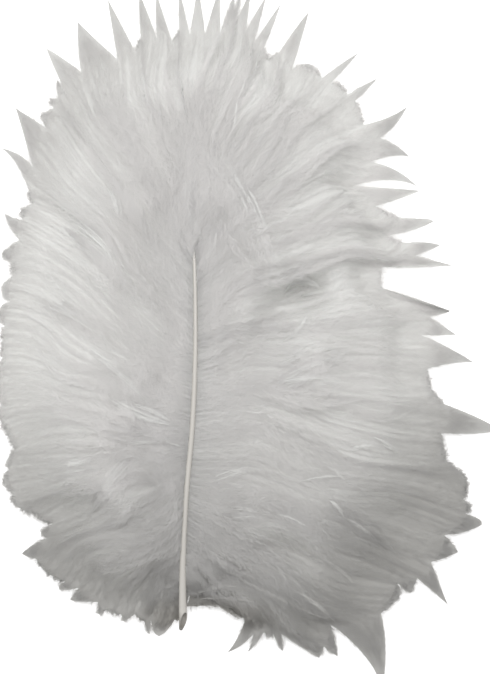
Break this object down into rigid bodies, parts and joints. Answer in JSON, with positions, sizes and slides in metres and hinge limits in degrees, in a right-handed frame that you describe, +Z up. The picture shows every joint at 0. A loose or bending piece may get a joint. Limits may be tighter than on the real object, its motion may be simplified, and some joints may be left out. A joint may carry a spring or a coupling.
{
  "type": "down feather",
  "caption": "Fluffy white down feather lying flat, with a pale central shaft, soft vanes of clinging barbs and pointed locks all round its edge.",
  "frame": {"origin": "on the surface the feather lies on, in the middle of its footprint", "axes": "+X to the right, +Y from the quill towards the feather's tip, +Z up from the surface"},
  "size_m": [0.0884, 0.1252, 0.0131],
  "materials": {
    "down": "washed white down: matt, very pale, with a faint silky sheen along the barbs",
    "quill": "keratin shaft: smooth, satin, ivory white, greyer at its hollow end"
  },
  "bodies": {
    "root": {"feather": "down"}
  },
  "joints": []
}
